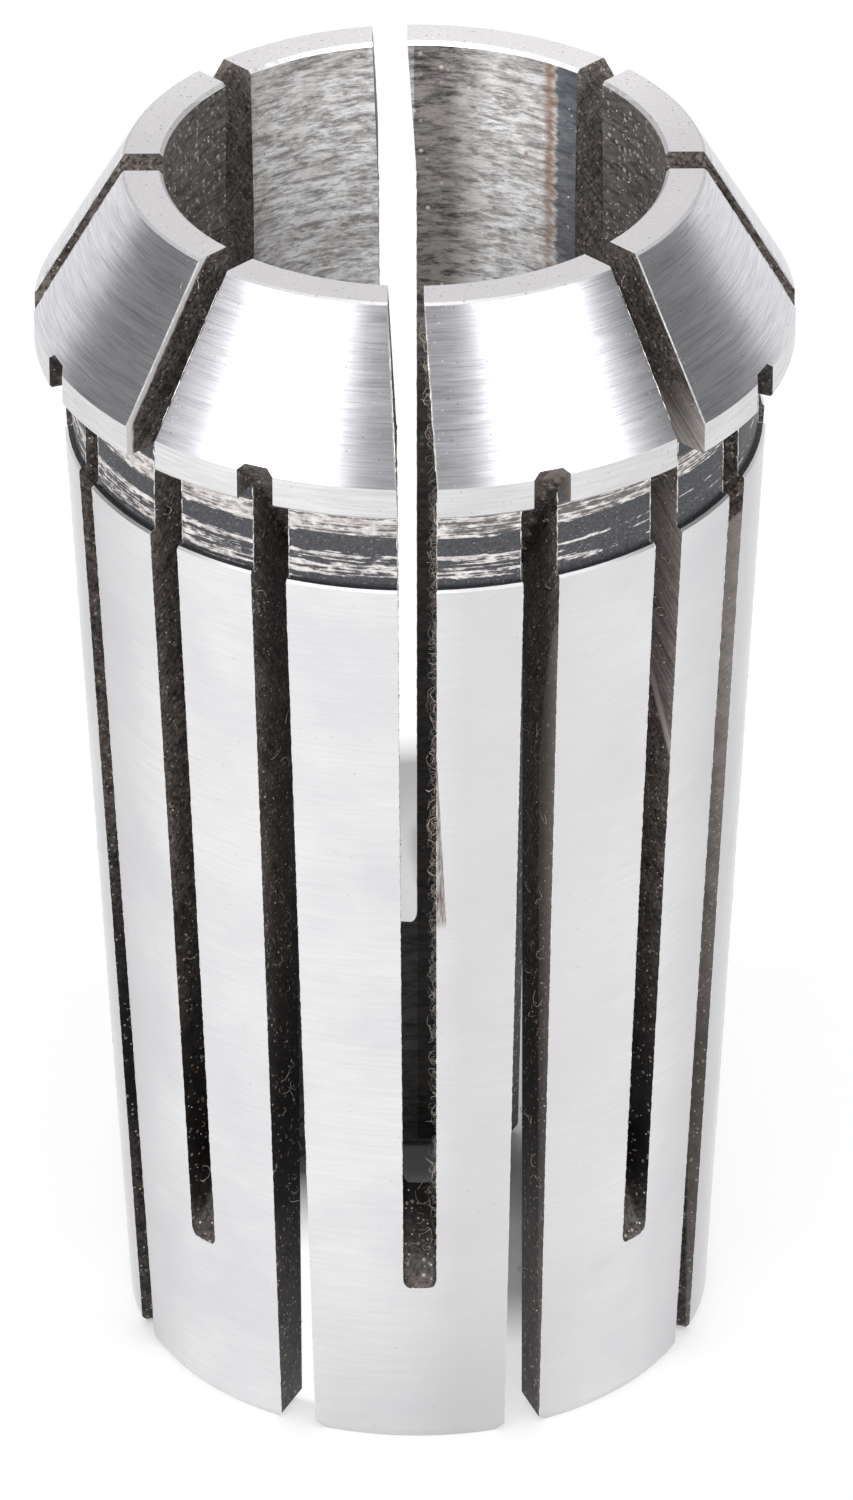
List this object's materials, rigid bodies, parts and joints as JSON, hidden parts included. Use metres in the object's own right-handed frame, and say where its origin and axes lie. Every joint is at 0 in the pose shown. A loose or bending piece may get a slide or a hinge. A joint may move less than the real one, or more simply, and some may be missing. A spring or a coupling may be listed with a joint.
{
  "type": "double-slit taper collet",
  "caption": "Slotted spring collet with a plain clamping bore, slow taper seat, extraction groove, rim and steep nut cone.",
  "frame": {"origin": "centre of the tail face, on the axis of the bore", "axes": "+Z along the bore axis from the tail to the head; -Y through the head slot that faces the front"},
  "size_m": [0.0298, 0.0298, 0.052],
  "materials": {
    "steel": "ground and fine turned, slot walls dark"
  },
  "bodies": {
    "root": {"collet_body": "steel"}
  },
  "joints": []
}
